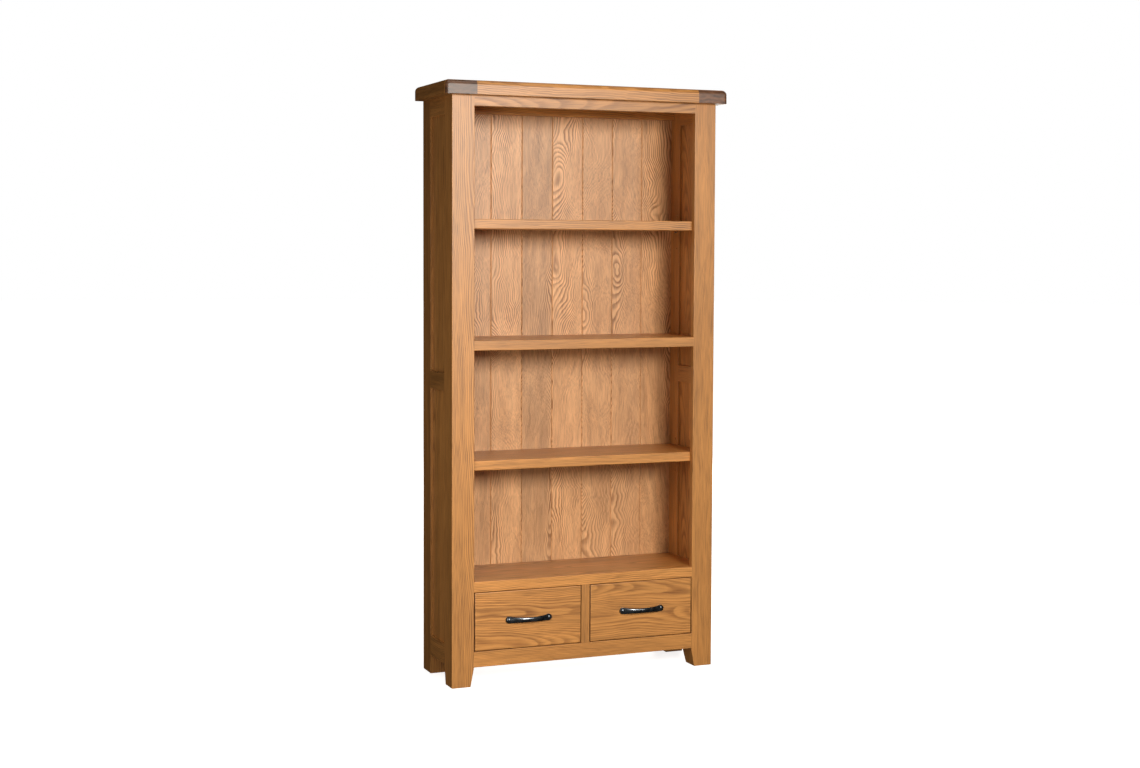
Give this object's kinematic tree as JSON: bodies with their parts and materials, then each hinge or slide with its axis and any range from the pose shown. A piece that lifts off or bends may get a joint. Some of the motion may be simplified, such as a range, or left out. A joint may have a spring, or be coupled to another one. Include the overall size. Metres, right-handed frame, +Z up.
{
  "type": "bookcase",
  "caption": "Tall solid oak bookcase with open bays, loose and fixed shelves, panelled sides, a boarded back, two drawers below and short tapered feet.",
  "frame": {"origin": "on the floor, under the middle of the top", "axes": "+Z up, front faces -Y, left side as seen from the front is -X"},
  "size_m": [0.918, 0.306, 1.8],
  "materials": {
    "oak": "satin lacquer",
    "oak_back": "satin lacquer",
    "drawer_box_oak": "bare planed",
    "cast_handle": "dark antique, burnished on its high spots",
    "steel_pin": "nickel plated",
    "steel_screw": "zinc plated"
  },
  "bodies": {
    "carcass": {"top_front_board": "oak", "top_middle_board": "oak", "top_back_board": "oak", "left_top_end_board": "oak", "right_top_end_board": "oak", "top_cleat": "oak", "top_screws": "steel_screw", "runner_screws": "steel_screw", "back_screws": "steel_screw", "left_face_stile": "oak", "right_face_stile": "oak", "top_face_rail": "oak", "middle_face_rail": "oak", "deck_face_rail": "oak", "bottom_face_rail": "oak", "drawer_divider": "oak", "deck_board": "oak", "fixed_shelf": "oak", "shelf_pins": "steel_pin", "back_boards": "oak_back", "back_top_rail": "oak", "back_bottom_rail": "oak", "left_drawer_runner": "oak", "right_drawer_runner": "oak", "centre_drawer_runner": "oak", "left_front_foot": "oak", "left_rear_foot": "oak", "left_front_side_stile": "oak", "left_rear_side_stile": "oak", "left_top_side_rail": "oak", "left_middle_side_rail": "oak", "left_bottom_side_rail": "oak", "left_upper_panel": "oak", "left_lower_panel": "oak", "right_front_foot": "oak", "right_rear_foot": "oak", "right_front_side_stile": "oak", "right_rear_side_stile": "oak", "right_top_side_rail": "oak", "right_middle_side_rail": "oak", "right_bottom_side_rail": "oak", "right_upper_panel": "oak", "right_lower_panel": "oak"},
    "left_drawer": {"left_drawer_front": "oak", "left_drawer_left_side": "drawer_box_oak", "left_drawer_right_side": "drawer_box_oak", "left_drawer_back": "drawer_box_oak", "left_drawer_bottom": "drawer_box_oak", "left_drawer_handle": "cast_handle", "left_drawer_handle_screws": "steel_screw"},
    "right_drawer": {"right_drawer_front": "oak", "right_drawer_left_side": "drawer_box_oak", "right_drawer_right_side": "drawer_box_oak", "right_drawer_back": "drawer_box_oak", "right_drawer_bottom": "drawer_box_oak", "right_drawer_handle": "cast_handle", "right_drawer_handle_screws": "steel_screw"},
    "upper_loose_shelf": {"upper_shelf": "oak"},
    "lower_loose_shelf": {"lower_shelf": "oak"}
  },
  "joints": [
    {"name": "left_drawer_slide", "type": "slide", "parent": "carcass", "child": "left_drawer", "axis": [0, -1, 0], "range_m": [0, 0.2]},
    {"name": "right_drawer_slide", "type": "slide", "parent": "carcass", "child": "right_drawer", "axis": [0, -1, 0], "range_m": [0, 0.2]},
    {"name": "upper_shelf_lift", "type": "slide", "parent": "carcass", "child": "upper_loose_shelf", "axis": [0, 0, 1], "range_m": [0, 0.05]},
    {"name": "lower_shelf_lift", "type": "slide", "parent": "carcass", "child": "lower_loose_shelf", "axis": [0, 0, 1], "range_m": [0, 0.05]}
  ]
}
